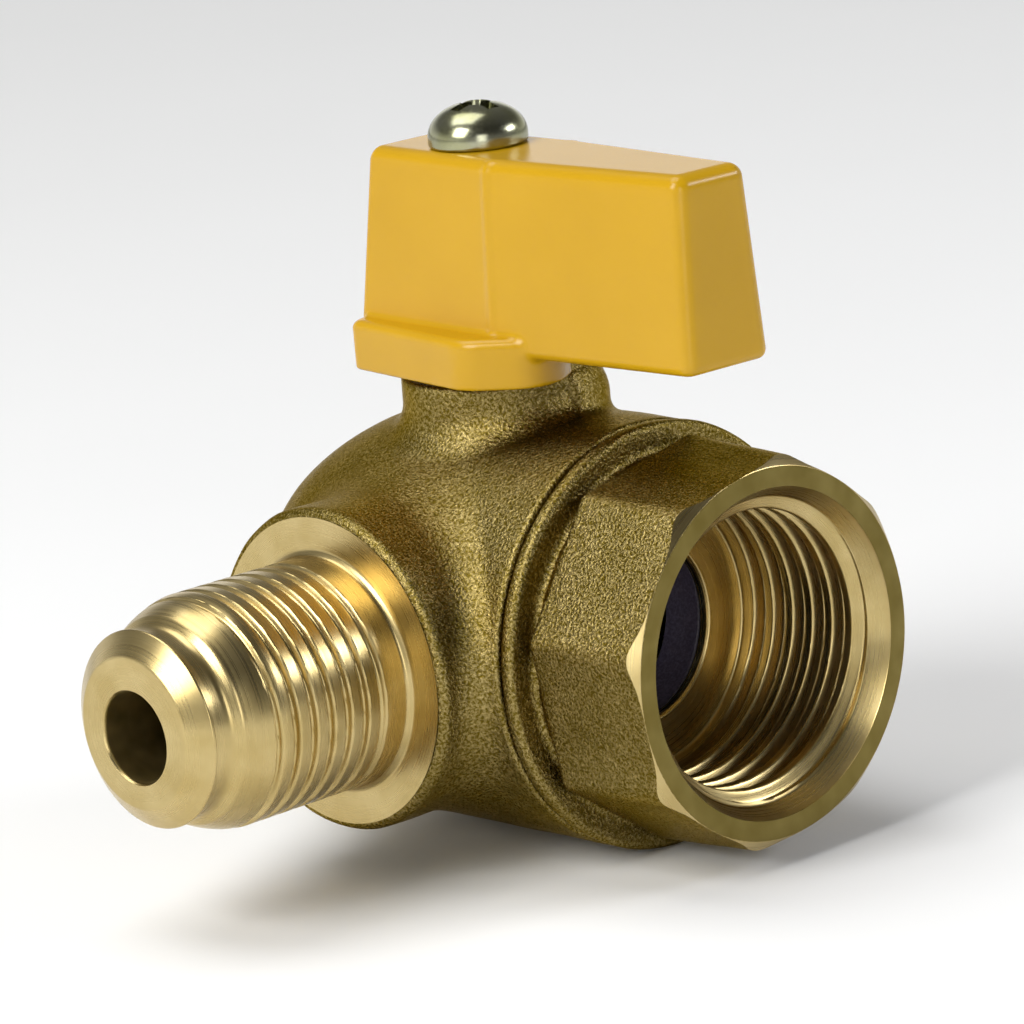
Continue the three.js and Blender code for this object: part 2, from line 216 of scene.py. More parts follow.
def ring(name, axis, section, segments=96):
    """A turned ring of a closed section of [along, radius]."""
    points = np.array(section, float)
    angles = np.linspace(0, 2 * math.pi, segments, endpoint=False)
    rows = on_axis(axis, points[:, :1], points[:, 1:], angles[None, :])
    count = len(points)
    quads = []
    for i in range(count):
        here, there = i * segments, (i + 1) % count * segments
        for k in range(segments):
            turn = (k + 1) % segments
            quads.append([here + k, here + turn, there + turn, there + k])
    area = sum(p[0] * q[1] - q[0] * p[1] for p, q in zip(points, np.roll(points, -1, axis=0)))
    return made(name, rows.reshape(-1, 3), [quad[::-1] for quad in quads] if area < 0 else quads)


def block(name, x, y, z):
    """A box between pairs of coordinates."""
    vertices = [(a, b, c) for a in x for b in y for c in z]
    faces = [(0, 1, 3, 2), (4, 6, 7, 5), (0, 4, 5, 1), (2, 3, 7, 6), (0, 2, 6, 4), (1, 5, 7, 3)]
    return made(name, vertices, faces)


def net(name, field, low, high, step):
    """A closed quad mesh of the surface where the field is 0, by surface nets and a few Newton steps."""
    axes = [np.arange(start, end + step, step) for start, end in zip(low, high)]
    values = field(*np.meshgrid(*axes, indexing="ij", sparse=True)).astype(np.float32)
    inside = values < 0
    shape = np.array(values.shape) - 1
    corners = [(a, b, c) for a in (0, 1) for b in (0, 1) for c in (0, 1)]

    def shifted(array, corner):
        return array[tuple(slice(c, c + n) for c, n in zip(corner, shape))]

    total = sum(shifted(inside, corner).astype(np.int8) for corner in corners)
    cells = np.argwhere((total > 0) & (total < 8))
    number = np.full(shape, -1, np.int64)
    number[tuple(cells.T)] = np.arange(len(cells))
    at = np.stack([values[tuple((cells + corner).T)] for corner in corners], axis=1)
    sums, hits = np.zeros((len(cells), 3)), np.zeros(len(cells))
    for p, first in enumerate(corners):
        for q, second in enumerate(corners):
            if q <= p or sum(abs(a - b) for a, b in zip(first, second)) != 1:
                continue
            crossed = (at[:, p] < 0) != (at[:, q] < 0)
            share = at[crossed, p] / (at[crossed, p] - at[crossed, q])
            sums[crossed] += np.array(first) + share[:, None] * (np.array(second) - first)
            hits[crossed] += 1
    points = np.array(low) + (cells + sums / hits[:, None]) * step
    for _ in range(4):
        value, slope = value_and_slope(field, points)
        move = value[:, None] * slope / np.maximum((slope ** 2).sum(1), 0.05)[:, None]
        length = np.linalg.norm(move, axis=1, keepdims=True)
        points -= move * np.minimum(1, 0.4 * step / np.maximum(length, 1e-9))
    return made(name, points, net_faces(inside, number))


def value_and_slope(field, points):
    """The field and its gradient at each point."""
    reach = 0.01
    columns = points.T
    value = field(*columns)
    slope = []
    for axis in range(3):
        offset = np.zeros((3, 1))
        offset[axis] = reach
        slope.append((field(*(columns + offset)) - field(*(columns - offset))) / (2 * reach))
    return value, np.stack(slope, axis=1)


def net_faces(inside, number):
    """One quad for each grid edge that the surface crosses, facing out."""
    faces = []
    for axis in range(3):
        across, up = (axis + 1) % 3, (axis + 2) % 3
        here = [slice(1, -1)] * 3
        here[axis] = slice(0, -1)
        beyond = list(here)
        beyond[axis] = slice(1, None)
        low, high = inside[tuple(here)], inside[tuple(beyond)]
        for wanted, order in ((low & ~high, 1), (~low & high, -1)):
            at = np.argwhere(wanted)
            at[:, across] += 1
            at[:, up] += 1
            quad = []
            for da, du in ((-1, -1), (0, -1), (0, 0), (-1, 0))[::order]:
                cell = at.copy()
                cell[:, across] += da
                cell[:, up] += du
                quad.append(number[tuple(cell.T)])
            faces.append(np.stack(quad, axis=1))
    return np.concatenate(faces)


# ---------------------------------------------------------------- joining and cutting
def joined(target, operation, *tools):
    """target united with, cut by or kept inside each tool. The tools go."""
    for tool in tools:
        step = target.modifiers.new("join", "BOOLEAN")
        step.operation = operation
        step.solver = "MANIFOLD"
        step.object = tool
    graph = bpy.context.evaluated_depsgraph_get()
    mesh = bpy.data.meshes.new_from_object(target.evaluated_get(graph))
    target.modifiers.clear()
    target.data = mesh
    for tool in tools:
        bpy.data.objects.remove(tool)
    return target


def shaded(piece, sharp_degrees=42):
    """Smooth faces with sharp creases, and normals weighted by area so that flat faces stay flat."""
    mesh = piece.data
    mesh.polygons.foreach_set("use_smooth", [True] * len(mesh.polygons))
    mesh.set_sharp_from_angle(angle=math.radians(sharp_degrees))
    weighted = piece.modifiers.new("flat faces", "WEIGHTED_NORMAL")
    weighted.keep_sharp = True
    return piece


def union(a, b, fillet):
    """Two fields united, with a round fillet where they meet."""
    reach = np.hypot(np.maximum(fillet - a, 0), np.maximum(fillet - b, 0))
    return np.maximum(fillet, np.minimum(a, b)) - reach


def common(a, b, edge):
    """What two fields share, with a rounded edge."""
    reach = np.hypot(np.maximum(a + edge, 0), np.maximum(b + edge, 0))
    return np.minimum(-edge, np.maximum(a, b)) + reach


def soft_max(a, b, width):
    """The larger of two fields, eased over a narrow band where they cross."""
    blend = np.maximum(width - np.abs(a - b), 0) / width
    return np.maximum(a, b) + blend ** 2 * width / 4


# ---------------------------------------------------------------- threads
def tooth(phase, crest_flat, root_flat):
    """How deep a thread groove is at a phase: 0 on the crest, 1 at the root, with rounded corners."""
    from_root = np.abs((phase % 1) - 0.5)
    ramp = np.clip((0.5 - crest_flat / 2 - from_root) / (0.5 - crest_flat / 2 - root_flat / 2), 0, 1)
    return ramp * ramp * (3 - 2 * ramp)


def outer_thread(crest_r, depth, pitch, crest_flat, start, end):
    """A right-hand male thread cut into its blank. start and end are [none, full] places along the axis."""
    def surface(along, angle, blank):
        fade = np.minimum(share_of(along, *start), share_of(along, *end))
        phase = (along - pitch * angle / (2 * math.pi)) / pitch
        return np.minimum(blank, crest_r - depth * fade * tooth(phase, crest_flat, 0.12))
    return surface


def share_of(value, none, full):
    """How far a value has gone from none to full, from 0 to 1."""
    return np.clip((value - none) / (full - none), 0, 1)


def inner_thread(crest_r, depth, pitch):
    """A right-hand female thread that its countersink cuts off."""
    def surface(along, angle, envelope):
        phase = (along - pitch * angle / (2 * math.pi)) / pitch
        return np.maximum(envelope, crest_r + depth * tooth(phase, 0.3, 0.2))
    return surface


# ---------------------------------------------------------------- forged body
def waviness(x, y, z):
    """The slight unevenness of a forged surface, as two long waves that cross."""
    a = np.sin(0.61 * x + 0.37 * y + 1.3) * np.sin(0.53 * z - 0.29 * x + 0.4)
    b = np.sin(1.13 * y - 0.71 * z + 2.1) * np.sin(0.97 * x + 0.83 * z)
    return 0.035 * a + 0.02 * b


def barrel_field(x, y, z):
    """The round body along the pipe's axis, closed by a blunt dome at the back."""
    dome_start = -1.75
    dome_length = 19.7
    power = 1.855
    a = np.maximum(dome_start - x, 0) / dome_length
    b = np.hypot(y, z) / BODY_R + 1e-9
    size = (a ** power + b ** power) ** (1 / power)
    slope = np.hypot((b / size) ** (power - 1), BODY_R / dome_length * (a / size) ** (power - 1))
    side = (size - 1) * BODY_R / slope
    return common(common(side, REAR_X + UNEVEN - x, 1.1), x - SEAM_X, 0.25)


def forging_field(x, y, z):
    """The whole forging: barrel, boss of the male end, stem neck and stop lug."""
    boss_fillet, neck_fillet, lug_fillet = 2.2, 1.7, 0.35
    boss = common(np.hypot(x, z) - BOSS_R, SHOULDER_Y + UNEVEN - y, 0.6)
    boss = np.maximum(boss, y)
    neck = common(np.hypot(x, y) - NECK_R, z - NECK_TOP, 0.3)
    neck = np.maximum(neck, -z)
    body = union(barrel_field(x, y, z), boss, boss_fillet)
    body = union(body, neck, neck_fillet)
    lug_foot, lug_foot_r, lug_taper = 10, 7.35, 1.1
    lug_r = lug_foot_r - lug_taper * share_of(z, 14.7, 17.2) ** 2
    lug_shape = common(np.hypot(x, y) - lug_r, z - LUG_TOP, 0.5)
    lug_sides = common(CLEAR - x, CLEAR - y, 0.2)
    lug = common(np.maximum(lug_shape, lug_foot - z), lug_sides, 0.25)
    return union(body, lug, lug_fillet) + waviness(x, y, z)


def male_end():
    """The turned end: nose, chamfer, relief groove, thread, shank and shoulder."""
    groove_end = -31.5
    root_inside_body = -8
    nose = [[NOSE_Y, 0], [NOSE_Y, 5.05, 0.15], [-33.3, 6.6, 0.1], [-33.12, 6.6, 0.06]]
    relief_groove = [[-33.05, 6.2, 0.1], [-31.6, 6.3, 0.35], [-31.05, 6.95, 0.12]]
    lead = [[-30.1, 7.4, 0.3], [-29.2, 7.7, 0.3], [-28.4, MALE_CREST_R, 0.3]]
    shank = [[SHOULDER_Y - 0.3, MALE_CREST_R - 0.05, 0.2], [SHOULDER_Y, MALE_CREST_R + 0.3, 0.15]]
    rim = SHOULDER_R - 0.2
    shoulder = [[SHOULDER_Y, SHOULDER_R], [SHOULDER_Y + 0.2, rim], [root_inside_body, rim],
                [root_inside_body, 0]]
    thread = outer_thread(MALE_CREST_R, 0.42, MALE_PITCH, 0.5, (groove_end, -30.5), (-18.6, -20.0))
    return turned("male_end", "y", nose + relief_groove + lead + shank + shoulder,
                  segments=160, thread=(groove_end, -19, thread), fine=0.055)


def outlet_bore():
    """The drilled way out, with its sharp edge broken at the nose."""
    mouth = OUTLET_R + 0.12
    bore = turned("outlet", "y", [
        [NOSE_Y - BEYOND, 0], [NOSE_Y - BEYOND, mouth + 1], [NOSE_Y, mouth, 0.05],
        [NOSE_Y + 0.2, OUTLET_R, 0.1],
        [0, OUTLET_R], [0, 0]], segments=96)
    bore.data.transform(Matrix.Translation((0, 0, -OUTLET_DROP * MM)))
    return bore


def body_cutters():
    """The ball's chamber with the spigot's bore, the stem's bore, and the way out."""
    flange_bore_r, stem_bore_r = STEM_FLANGE_R + CLEAR, STEM_R + 0.1
    chamber_opening, stem_opening = SEAM_X + BEYOND, LUG_TOP + BEYOND
    return [
        turned("chamber", "x", [
            [-SEAT_POCKET_X, 0], [-SEAT_POCKET_X, SEAT_POCKET_R], [-CHAMBER_END_X, SEAT_POCKET_R],
            [-CHAMBER_END_X, CHAMBER_R], [CHAMBER_END_X, CHAMBER_R], [CHAMBER_END_X, SPIGOT_BORE_R],
            [chamber_opening, SPIGOT_BORE_R], [chamber_opening, 0]]),
        turned("stem_bore", "z", [
            [0, 0], [0, flange_bore_r], [STEM_POCKET_TOP, flange_bore_r],
            [STEM_POCKET_TOP, stem_bore_r], [stem_opening, stem_bore_r], [stem_opening, 0]]),
        outlet_bore(),
    ]


def valve_body():
    """The forging, with its turned end joined on and its bores cut."""
    grid = 0.24
    low = [REAR_X - 1, SHOULDER_Y - 1, -BODY_R - 1]
    high = [SEAM_X + 1, BODY_R + 1, LUG_TOP + 1]
    body = net("valve_body_forging", forging_field, low, high, grid)
    joined(body, "UNION", male_end())
    joined(body, "DIFFERENCE", *body_cutters())
    return body


# ---------------------------------------------------------------- female end connector
def octagon_field(x, y, z):
    """A drafted octagon, 25 mm across its flats, whose ridges grow rounder towards its mouth."""
    corner_r, mouth_corner_r = 13.53, 13.2
    back_x = 14.75
    first_corner = math.radians(11.5)
    eighth = math.pi / 4
    share = share_of(x, back_x, MOUTH_X)
    ridge = 1.0 + 1.4 * share
    apothem = (corner_r + (mouth_corner_r - corner_r) * share) * math.cos(eighth / 2) - ridge
    radius = np.hypot(y, z)
    angle = np.arctan2(z, -y) - first_corner - eighth / 2
    angle = angle - eighth * np.round(angle / eighth)
    out, side = radius * np.cos(angle), np.abs(radius * np.sin(angle))
    beyond = np.maximum(side - apothem * math.tan(eighth / 2), 0)
    flat = np.where(beyond > 0, np.hypot(np.maximum(out - apothem, 0), beyond), out - apothem) - ridge
    return common(flat, back_x - x, 0.35)


def connector_field(x, y, z):
    """The octagon and the round collar behind it, joined by a core."""
    collar_end, core_start, core_r = 14.15, 13.5, 12.3
    radius = np.hypot(y, z)
    collar = common(radius - COLLAR_R, x - collar_end, 0.45)
    collar = common(collar, SEAM_X + CLEAR - x, 0.2)
    core = np.maximum(radius - core_r, core_start - x)
    nut = np.maximum(union(octagon_field(x, y, z), core, 0.3), x - MOUTH_X - 0.5)
    return union(nut, collar, 0.5) + 0.6 * waviness(y, x, z)


def connector_core():
    """Spigot with its seal groove, which goes into the body's bore."""
    seal_x, groove, floor_r = 10.7, 0.8, 10.4
    spigot_r = SPIGOT_BORE_R - CLEAR
    end_x = CHAMBER_END_X + CLEAR
    return turned("spigot", "x", [
        [end_x, 0], [end_x, spigot_r, 0.3], [seal_x - groove, spigot_r], [seal_x - groove, floor_r],
        [seal_x + groove, floor_r], [seal_x + groove, spigot_r], [SEAM_X + 1, spigot_r],
        [SEAM_X + 1, 0]])


def mouth_envelope():
    """The turned face and chamfer that trim the octagon's mouth."""
    chamfer_x = MOUTH_X - CHAMFER_DEPTH
    back_x, all_round = SEAM_X - 8, 20
    return turned("mouth", "x", [
        [back_x, 0], [back_x, all_round], [chamfer_x, all_round], [chamfer_x, CHAMFER_R],
        [MOUTH_X, MOUTH_FACE_R, 0.08], [MOUTH_X, 0]], segments=256)


def passage():
    """Seat pocket, gas orifice, pipe socket and its countersink."""
    floor_x = 11.85
    thread_start, thread_end = floor_x + 1, MOUTH_X - 1.35
    orifice_r, socket_r = 6.13, 9.4
    seat_pocket = [[0, 0], [0, SEAT_POCKET_R], [SEAT_POCKET_X, SEAT_POCKET_R], [SEAT_POCKET_X, orifice_r]]
    orifice = [[floor_x - 0.2, orifice_r, 0.05], [floor_x, 6.3, 0.05]]
    socket = [[floor_x, socket_r, 0.25], [floor_x + 0.9, socket_r, 0.1], [thread_start, FEMALE_CREST_R],
              [MOUTH_X - 1.95, FEMALE_CREST_R, 0.15], [thread_end, 10.2, 0.1]]
    countersink = [[MOUTH_X, COUNTERSINK_R, 0.08], [MOUTH_X + BEYOND, COUNTERSINK_R + 0.1],
                   [MOUTH_X + BEYOND, 0]]
    thread = inner_thread(FEMALE_CREST_R, 0.85, FEMALE_PITCH)
    return turned("passage", "x", seat_pocket + orifice + socket + countersink,
                  segments=192, thread=(thread_start, thread_end, thread))


def end_connector():
    """The octagonal end with its spigot, trimmed at the mouth and bored through."""
    grid = 0.17
    reach = 15.2
    nut = net("end_connector_nut", connector_field, [SEAM_X - 0.6, -reach, -reach],
              [MOUTH_X + 1.2, reach, reach], grid)
    joined(nut, "UNION", connector_core())
    joined(nut, "INTERSECT", mouth_envelope())
    joined(nut, "DIFFERENCE", passage())
    return nut


# ---------------------------------------------------------------- handle
WING_TOP = [(-7.05, 3.9), (5.46, 4.28), (22.8, 3.0)]  # half outline: hub end, widest place, tip
WING_FOOT = [(-9.0, 4.6), (5.5, 4.98), (23.15, 3.7)]
WING_BOTTOM = 19.15
CREASE_BEAD = 0.15  # height of the soft raised line down the lever's widest place
CREASE_WIDTH = 0.4
SKIRT = [(-8.6, 3), (-8.05, -6.1), (4.9, -7.45), (8.7, -4.6), (8.9, -2.2), (5.5, 3)]  # its outline
SKIRT_TOP = 20.6


def plane(a, b, c, inner):
    """Signed distance from the plane through three points, negative on the inner point's side."""
    a, b, c, inner = (np.array(p, float) for p in (a, b, c, inner))
    normal = np.cross(b - a, c - a)
    normal /= np.linalg.norm(normal)
    if normal @ (inner - a) > 0:
        normal = -normal
    return lambda x, y, z: normal[0] * (x - a[0]) + normal[1] * (y - a[1]) + normal[2] * (z - a[2])


def wing_field(x, y, z):
    """The lever: a box whose sides draft outwards to its foot and taper to its tip."""
    edge = 0.95
    centre = (5, 0, 25)
    top = [(u, -v, HANDLE_TOP) for u, v in WING_TOP]
    foot = [(u, -v, WING_BOTTOM) for u, v in WING_FOOT]
    hub_side = plane(top[0], top[1], foot[1], centre)
    tip_side = plane(top[1], top[2], foot[1], centre)
    mirrored = -np.abs(y)
    bead = CREASE_BEAD * np.exp(-((x - WING_TOP[1][0]) / CREASE_WIDTH) ** 2)
    side = soft_max(hub_side(x, mirrored, z), tip_side(x, mirrored, z), 0.07) - bead
    hub, tip = [plane(top[i], foot[i], (foot[i][0], 9, WING_BOTTOM), centre)(x, y, z) for i in (0, 2)]
    lid = z - HANDLE_TOP
    over = sum(np.maximum(d + edge, 0) ** 2 for d in (side, tip, lid))
    inner = np.maximum(np.maximum(side, tip), lid) + edge
    wing = np.sqrt(over) + np.minimum(inner, 0) - edge
    return common(common(wing, hub, 0.75), WING_BOTTOM - z, 0.7)


def outline_field(x, y, corners, ease):
    """Signed distance from a convex outline whose corners are rounded."""
    distance = np.full(np.broadcast(x, y).shape, -1e9)
    for (ax, ay), (bx, by) in zip(corners, corners[1:] + corners[:1]):
        length = math.hypot(bx - ax, by - ay)
        side = ((by - ay) * (x - ax) - (bx - ax) * (y - ay)) / length
        blend = np.maximum(ease - np.abs(side - distance), 0) / ease
        distance = np.maximum(side, distance) + blend ** 2 * ease / 4
    return distance


def handle_field(x, y, z):
    """The lever with the half skirt round the stem's neck."""
    skirt = outline_field(x, y, SKIRT, 0.9)
    skirt = common(skirt, z - SKIRT_TOP, 0.6)
    skirt = common(skirt, HANDLE_BOTTOM - z, 0.2)
    skirt = common(skirt, y, 0.12)
    return union(wing_field(x, y, z), skirt, 0.4)


def handle_hollows():
    """Double-D socket for the stem, hole for the screw, and the two pockets under the lever."""
    socket_top = stem_high.z + CLEAR
    socket_r, half_flat = STEM_R + CLEAR, STEM_HALF_FLAT + CLEAR
    socket = turned("socket", "z", [[0, 0], [0, socket_r], [socket_top, socket_r], [socket_top, 0]])
    joined(socket, "INTERSECT", block("flats", (-9, 9), (-half_flat, half_flat), (-1, socket_top + 1)))
    hole_foot, hole_top = 20, HANDLE_TOP + BEYOND
    screw_hole = turned("screw_hole", "z", [
        [hole_foot, 0], [hole_foot, TAPPED_R], [hole_top, TAPPED_R], [hole_top, 0]])
    pocket_heights = (17, 30)
    pockets = []
    for near, far, near_half, far_half in ((9, 14.2, 2.6, 2.3), (15.8, 21.2, 2.2, 1.9)):
        plan = [(near, -near_half), (far, -far_half), (far, far_half), (near, near_half)]
        vertices = [(u, v, z) for z in pocket_heights for u, v in plan]
        sides = [(k, (k + 1) % 4, (k + 1) % 4 + 4, k + 4) for k in range(4)]
        pockets.append(made(f"pocket_{near}", vertices, [(0, 3, 2, 1), (4, 5, 6, 7)] + sides))
    return [socket, screw_hole, *pockets]


def set_at_rest(piece):
    """Turns a piece that was made in line with the valve to where the handle rests."""
    turn = Matrix.Translation(BALL_CENTRE) @ Matrix.Rotation(HANDLE_AT_REST, 4, "Z")
    piece.data.transform(turn @ Matrix.Translation(-BALL_CENTRE))
    return piece


def handle():
    """The moulded lever handle, hollowed from below."""
    grid = 0.15
    lever = net("handle_lever", handle_field, [-9.5, -8.6, HANDLE_BOTTOM - 0.8],
                [24.2, 6, HANDLE_TOP + 0.8], grid)
    joined(lever, "DIFFERENCE", *handle_hollows())
    return set_at_rest(lever)


def handle_screw():
    """Pan head screw with a cross recess and a cut thread."""
    head_r, thread_r = 3.36, 1.95
    seat_z = HANDLE_TOP + 0.03
    rim_top = seat_z + 0.62
    thread_top = 30
    foot, top = screw_low.z, screw_high.z
    dome = [[rim_top + (top - rim_top) * math.sin(a), head_r * math.cos(a) ** 0.92]
            for a in np.linspace(0, math.pi / 2, 24)[1:-1]]
    thread = outer_thread(thread_r, 0.35, 0.7, 0.2, (foot, foot + 0.7), (thread_top + 1, thread_top))
    screw = turned("handle_screw_head", "z", [
        [foot, 0], [foot, 1.5, 0.2], [foot + 0.5, thread_r], [thread_top, thread_r],
        [seat_z, thread_r], [seat_z, head_r - 0.1, 0.1], [seat_z + 0.15, head_r, 0.1], [rim_top, head_r],
        *dome, [top, 0],
    ], segments=128, thread=(foot + 0.3, thread_top, thread))
    arm, half_slot, depth = 1.85, 0.48, 0.9
    bars = [block("recess", (-a, a), (-b, b), (top - depth, top + BEYOND))
            for a, b in ((arm, half_slot), (half_slot, arm))]
    core = turned("recess_core", "z", [
        [top - 1.4, 0], [top - 1.1, 0.8], [top + BEYOND, 1.3], [top + BEYOND, 0]], 32)
    joined(screw, "DIFFERENCE", *bars, core)
    return set_at_rest(screw)


# ---------------------------------------------------------------- inner pieces
def stem():
    """The stem: flange, two O-ring grooves, a tang below and two flats and a tapped hole on top."""
    seals = [corners_mm(name) for name in ("stem_oring_lower", "stem_oring_upper")]
    half_groove, groove_r = 0.8, 2.9
    grooves = []
    for low, high in seals:
        z = (low.z + high.z) / 2
        grooves += [[z - half_groove, STEM_R, 0.1], [z - half_groove, groove_r],
                    [z + half_groove, groove_r], [z + half_groove, STEM_R, 0.1]]
    flange_low, flange_high = BALL_R + CLEAR, washer_low.z - CLEAR
    spindle = turned("stem_spindle", "z", [
        [flange_low, 0], [flange_low, STEM_FLANGE_R, 0.2], [flange_high, STEM_FLANGE_R, 0.2],
        [flange_high, STEM_R], *grooves, [stem_high.z, STEM_R, 0.4], [stem_high.z, 0]])
    tang_half, tang_reach = 1.3, 4
    joined(spindle, "UNION", block("tang", (-tang_half, tang_half), (-tang_reach, tang_reach),
                                   (stem_low.z, flange_low + 0.5)))
    hole_foot, opening = screw_low.z - CLEAR, stem_high.z + BEYOND
    flats = [block("flat", (-9, 9), sorted((side * STEM_HALF_FLAT, side * 9)), (NECK_TOP, opening))
             for side in (-1, 1)]
    tapped = turned("tapped", "z", [
        [hole_foot, 0], [hole_foot, TAPPED_R], [opening, TAPPED_R], [opening, 0]], 64)
    joined(spindle, "DIFFERENCE", *flats, tapped)
    return set_at_rest(spindle)


def half_circle(radius, count):
    """The profile of a turned sphere."""
    angles = np.linspace(-math.pi / 2, math.pi / 2, count)
    return [[radius * math.sin(angle), radius * math.cos(angle)] for angle in angles]


def ball():
    """The plated ball, with its L-shaped way through and the slot for the stem's tang."""
    inlet_r, outlet_r, slot_half, outside = 5, 4, 1.6, 11
    sphere = turned("ball_sphere", "z", half_circle(BALL_R, 64), 128)
    inlet = turned("inlet", "x", [[0, 0], [0, inlet_r], [7.6, inlet_r], [8.4, 5.35], [outside, 6.6],
                                  [outside, 0]], 96)
    outlet = turned("way_out", "y", [[-outside, 0], [-outside, 5.2], [-8.9, 4.2], [-8.2, outlet_r],
                                     [0, outlet_r], [0, 0]], 96)
    elbow = turned("elbow", "z", half_circle(inlet_r, 32), 64)
    slot = block("slot", (-slot_half, slot_half), (-BALL_R, BALL_R), (stem_low.z - CLEAR, BALL_R + BEYOND))
    joined(sphere, "DIFFERENCE", inlet, outlet, elbow, slot)
    return set_at_rest(sphere)


def seat(name, side):
    """One of the two seats: a ring with a slanted face to the ball. side is 1 in front of it."""
    low, high = corners_mm(name)
    back = side * max(abs(low.x), abs(high.x))
    front = side * min(abs(low.x), abs(high.x))
    outer, inner = high.z, 6.4
    return ring(f"{name}_ring", "x", [
        [back, inner + 0.2], [back, outer - 0.2], [back - side * 0.2, outer], [front, outer],
        [front + side * 1.4, inner], [back - side * 0.2, inner]])


def washer():
    """The flat washer between the stem's flange and the body."""
    bore_r, outer_r = STEM_R + CLEAR, (washer_high.x - washer_low.x) / 2
    return ring("thrust_washer_ring", "z", [
        [washer_low.z, bore_r], [washer_low.z, outer_r], [washer_high.z, outer_r], [washer_high.z, bore_r]])


def o_ring(name, axis):
    """A round-section ring in the middle of the CAD node's box."""
    low, high = corners_mm(name)
    index = "xyz".index(axis)
    other = (index + 1) % 3
    half = (high[index] - low[index]) / 2
    at, radius = (high[index] + low[index]) / 2, (high[other] - low[other]) / 2 - half
    section = [[at + half * math.sin(a), radius + half * math.cos(a)]
               for a in np.linspace(0, 2 * math.pi, 24, endpoint=False)]
    return ring(f"{name}_torus", axis, section)


# ---------------------------------------------------------------- materials
class Look:
    """A node material under construction, with one Principled shader."""

    def __init__(self, name, **sockets):
        self.material = bpy.data.materials.new(name)
        self.material.use_nodes = True
        self.nodes = self.material.node_tree.nodes
        self.links = self.material.node_tree.links
        self.shader = self.nodes["Principled BSDF"]
        for socket, value in sockets.items():
            self.shader.inputs[socket.replace("_", " ")].default_value = value

    def node(self, kind, settings=(), **inputs):
        """A node with inputs set or linked. i0 is the first input, and a name has _ for a space."""
        node = self.nodes.new(kind)
        for name, value in dict(settings).items():
            setattr(node, name, value)
        for name, value in inputs.items():
            key = int(name[1:]) if name[1:].isdigit() else name.replace("_", " ")
            self.feed(value, node.inputs[key])
        return node

    def feed(self, value, socket):
        if isinstance(value, bpy.types.NodeSocket):
            self.links.new(value, socket)
        else:
            socket.default_value = value

    def place(self):
        return self.node("ShaderNodeTexCoord").outputs["Object"]

    def noise(self, scale, detail=2.0, roughness=0.5, vector=None):
        """Noise of so many waves to the metre."""
        made_noise = self.node("ShaderNodeTexNoise", Vector=vector or self.place(), Scale=scale,
                               Detail=detail, Roughness=roughness)
        return made_noise.outputs["Fac"]

    def spread(self, value, low, high, to_low, to_high):
        made_range = self.node("ShaderNodeMapRange", i0=value, i1=low, i2=high, i3=to_low, i4=to_high)
        return made_range.outputs[0]

    def mixed(self, share, first, second):
        mix = self.node("ShaderNodeMix", {"data_type": "RGBA"}, i0=share, i6=first, i7=second)
        return mix.outputs[2]

    def maths(self, operation, first, second=0.0):
        return self.node("ShaderNodeMath", {"operation": operation}, i0=first, i1=second).outputs[0]

    def bump(self, height, distance, strength=1.0, below=None):
        made_bump = self.node("ShaderNodeBump", Height=height, Distance=distance, Strength=strength)
        if below is not None:
            self.links.new(below, made_bump.inputs["Normal"])
        return made_bump.outputs["Normal"]

    def around(self, axis):
        """Distance along the turning axis and from it, in metres, as a vector for turned textures."""
        split = self.node("ShaderNodeSeparateXYZ", Vector=self.place()).outputs
        centred = [self.maths("SUBTRACT", split[i], BALL_CENTRE[i]) for i in range(3)]
        index = "xyz".index(axis)
        a, b = (centred[i] for i in range(3) if i != index)
        squares = self.maths("ADD", self.maths("MULTIPLY", a, a), self.maths("MULTIPLY", b, b))
        radius = self.maths("SQRT", squares)
        return self.node("ShaderNodeCombineXYZ", X=centred[index], Y=radius).outputs[0]

    def use(self, socket, value):
        self.links.new(value, self.shader.inputs[socket])


FORGED = (0.46, 0.36, 0.15, 1)
FORGED_DARK = (0.12, 0.083, 0.008, 1)
FORGED_EDGE = (0.70, 0.56, 0.30, 1)  # reflection at a glancing angle
TURNED = (0.58, 0.455, 0.21, 1)
TURNED_DARK = (0.49, 0.37, 0.15, 1)
# painted shade: brass far darker than the turned colours, standing for the dark surroundings the mouth's
# face reflects
PAINTED_SHADE_BRASS = (0.22, 0.17, 0.05, 1)
PAINTED_SHADE_BRASS_DARK = (0.16, 0.12, 0.028, 1)
PLASTIC = (0.55, 0.31, 0.006, 1)
PLASTIC_DEEP = (0.52, 0.29, 0.004, 1)
ZINC = (0.38, 0.38, 0.27, 1)
ZINC_YELLOW = (0.30, 0.30, 0.16, 1)
CHROME = (0.55, 0.56, 0.62, 1)
CHROME_DARK = (0.50, 0.51, 0.58, 1)
# partly painted shade: near-black seats darken what is seen inside the orifice
SEAT_NEAR_BLACK = (0.06, 0.05, 0.08, 1)
SEAT_NEAR_BLACK_LIGHT = (0.12, 0.10, 0.15, 1)
RUBBER = (0.012, 0.012, 0.013, 1)
RUBBER_LIGHT = (0.03, 0.03, 0.03, 1)


def forged_brass():
    """Shot-blasted forging: fine sparkling grain over olive brass."""
    look = Look("forged_brass", Metallic=1.0, Specular_Tint=FORGED_EDGE)
    grain = look.noise(5200, 3, 0.65)
    pits = look.node("ShaderNodeTexVoronoi", Vector=look.place(), Scale=4200).outputs["Distance"]
    stain = look.noise(260, 3, 0.6)
    colour = look.mixed(look.spread(grain, 0.4, 0.68, 0, 1), FORGED_DARK, FORGED)
    colour = look.mixed(look.spread(stain, 0.35, 0.7, 0.0, 0.35), colour, FORGED_DARK)
    look.use("Base Color", colour)
    look.use("Roughness", look.spread(grain, 0.3, 0.7, 0.33, 0.2))
    rough = look.bump(grain, 0.00009, 1.0)
    look.use("Normal", look.bump(pits, 0.00003, 0.7, rough))
    return look.material


